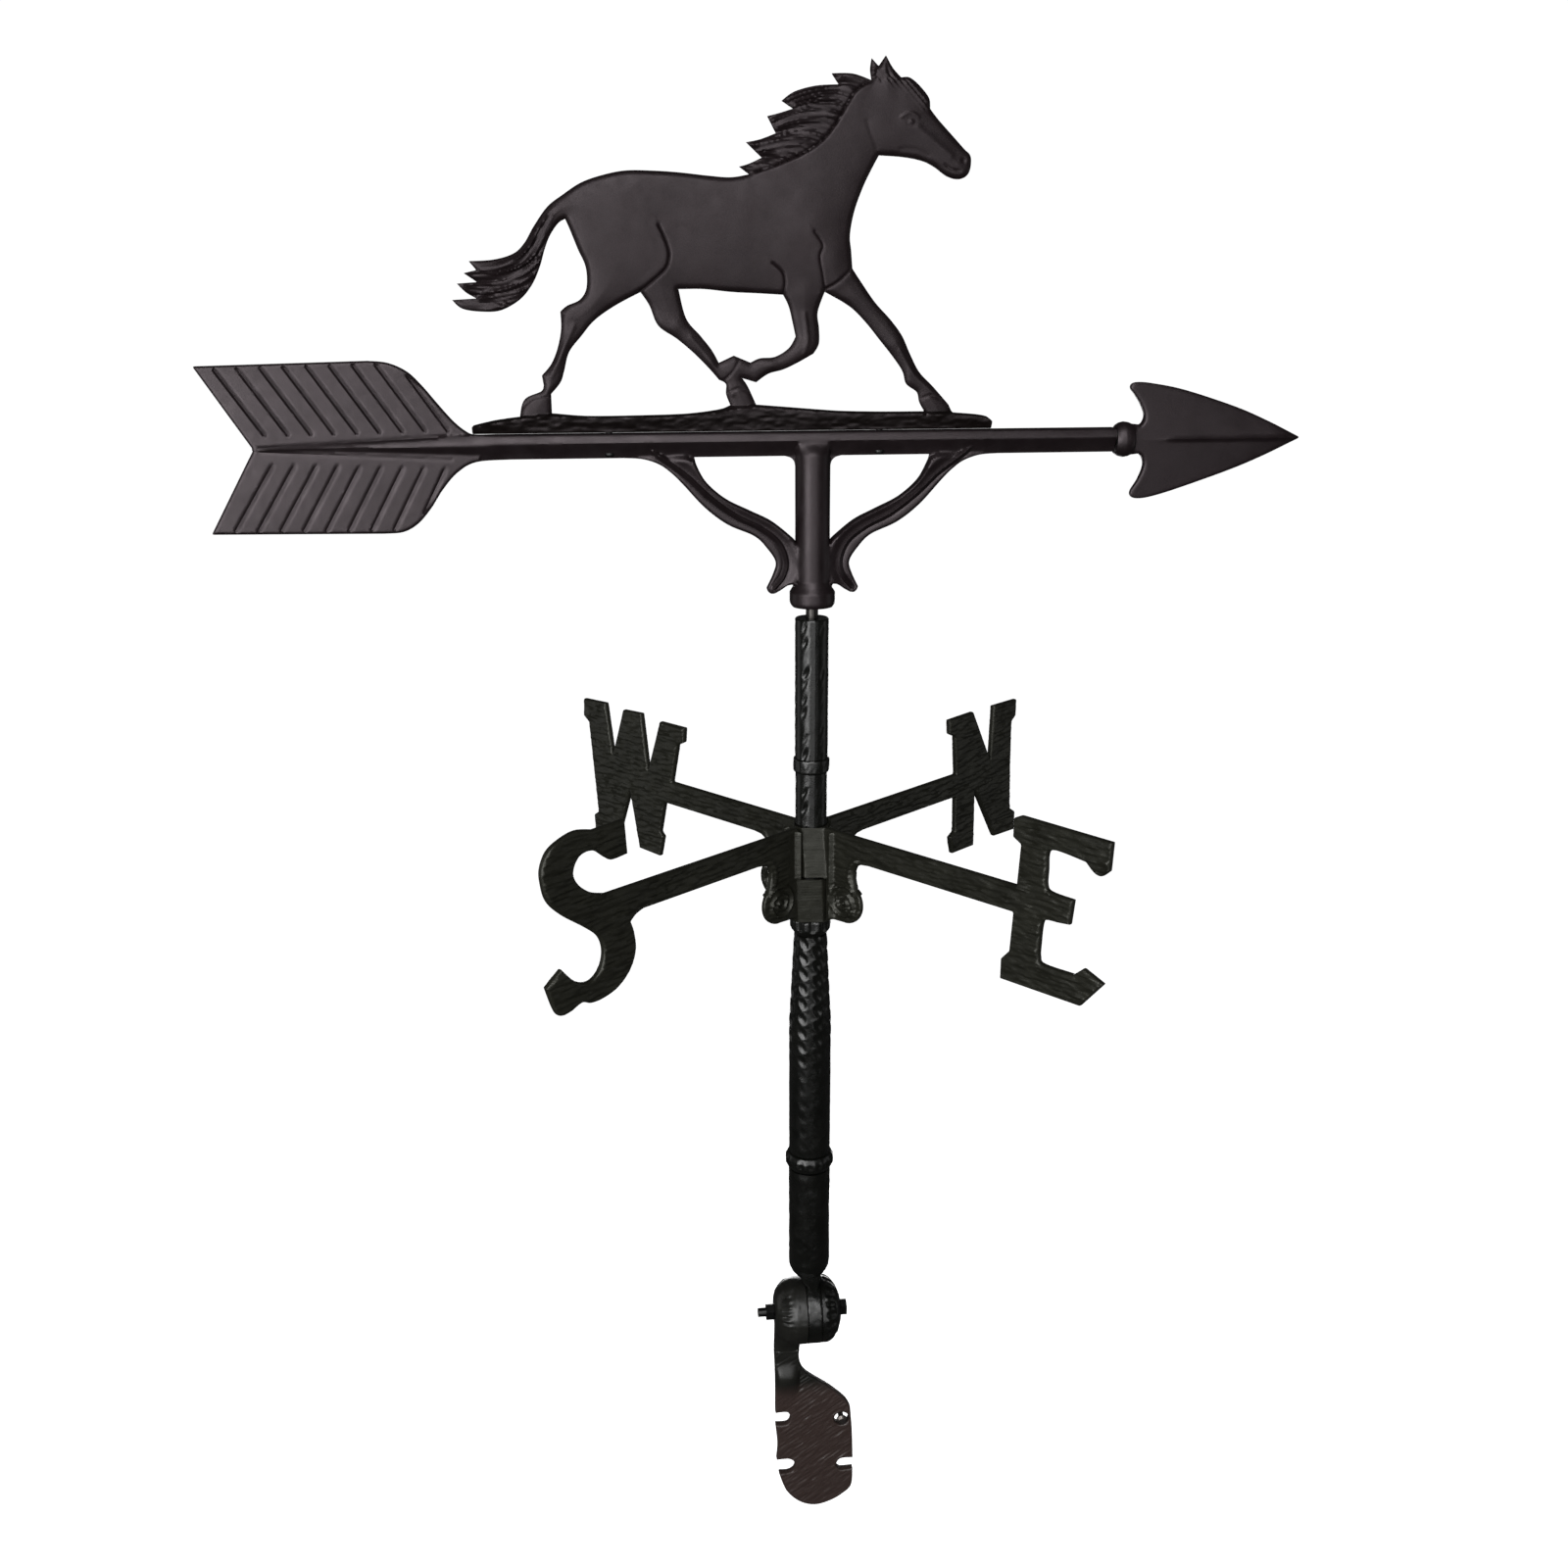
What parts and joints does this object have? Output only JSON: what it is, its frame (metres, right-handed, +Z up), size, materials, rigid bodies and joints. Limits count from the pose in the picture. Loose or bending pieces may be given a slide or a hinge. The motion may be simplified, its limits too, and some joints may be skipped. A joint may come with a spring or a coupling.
{
  "type": "weather vane",
  "caption": "Cast roof-mount weather vane: trotting horse on a spinning arrow, compass letters on crossed arms, dimpled mast, tilting swivel and slotted plate.",
  "frame": {"origin": "on the flat back face of the roof plate, straight behind the mast and 895 mm below the arrow's axis", "axes": "+X along the arrow towards its head, +Z up along the mast, +Y out of the back of the roof plate"},
  "size_m": [0.812, 0.4335, 1.223],
  "materials": {
    "vane_coat": "dark brown-black satin powder coat on cast aluminium",
    "letter_coat": "black-brown powder coat over a hammered stroke texture",
    "mast_coat": "near-black semi-gloss powder coat over dimpled castings",
    "bracket_coat": "dark brown satin powder coat over a diagonal stroke texture",
    "steel": "plain turned steel",
    "blackened_steel": "blackened steel",
    "nylon": "natural nylon"
  },
  "bodies": {
    "bracket": {"roof_bracket": "bracket_coat", "swivel_bolt": "blackened_steel", "swivel_nut": "blackened_steel", "plate_screw": "steel"},
    "mast": {"mast_foot": "mast_coat", "clutch_cap": "mast_coat", "coupling_ring": "mast_coat", "lower_post": "mast_coat", "lower_ferrule": "mast_coat", "middle_post": "mast_coat", "upper_ferrule": "mast_coat", "upper_post": "mast_coat", "spindle": "steel"},
    "directionals": {"east_west_directional": "letter_coat", "north_south_directional": "letter_coat", "set_screw_upper": "blackened_steel", "set_screw_lower": "blackened_steel"},
    "vane": {"arrow_body": "vane_coat", "arrow_head": "vane_coat", "horse_ornament": "vane_coat", "ornament_screw_rear": "blackened_steel", "ornament_screw_front": "blackened_steel", "sleeve_bush": "nylon", "pivot_ball": "steel"}
  },
  "joints": [
    {"name": "mount_swivel", "type": "hinge", "parent": "bracket", "child": "mast", "pos_m": [0, -0.004, 0.145], "axis": [1, 0, 0], "range_deg": [-90, 90]},
    {"name": "directionals_turn", "type": "hinge", "parent": "mast", "child": "directionals", "pos_m": [0, -0.004, 0.5874], "axis": [0, 0, 1], "continuous": true},
    {"name": "vane_spin", "type": "hinge", "parent": "mast", "child": "vane", "pos_m": [0, -0.004, 0.895], "axis": [0, 0, 1], "continuous": true}
  ]
}
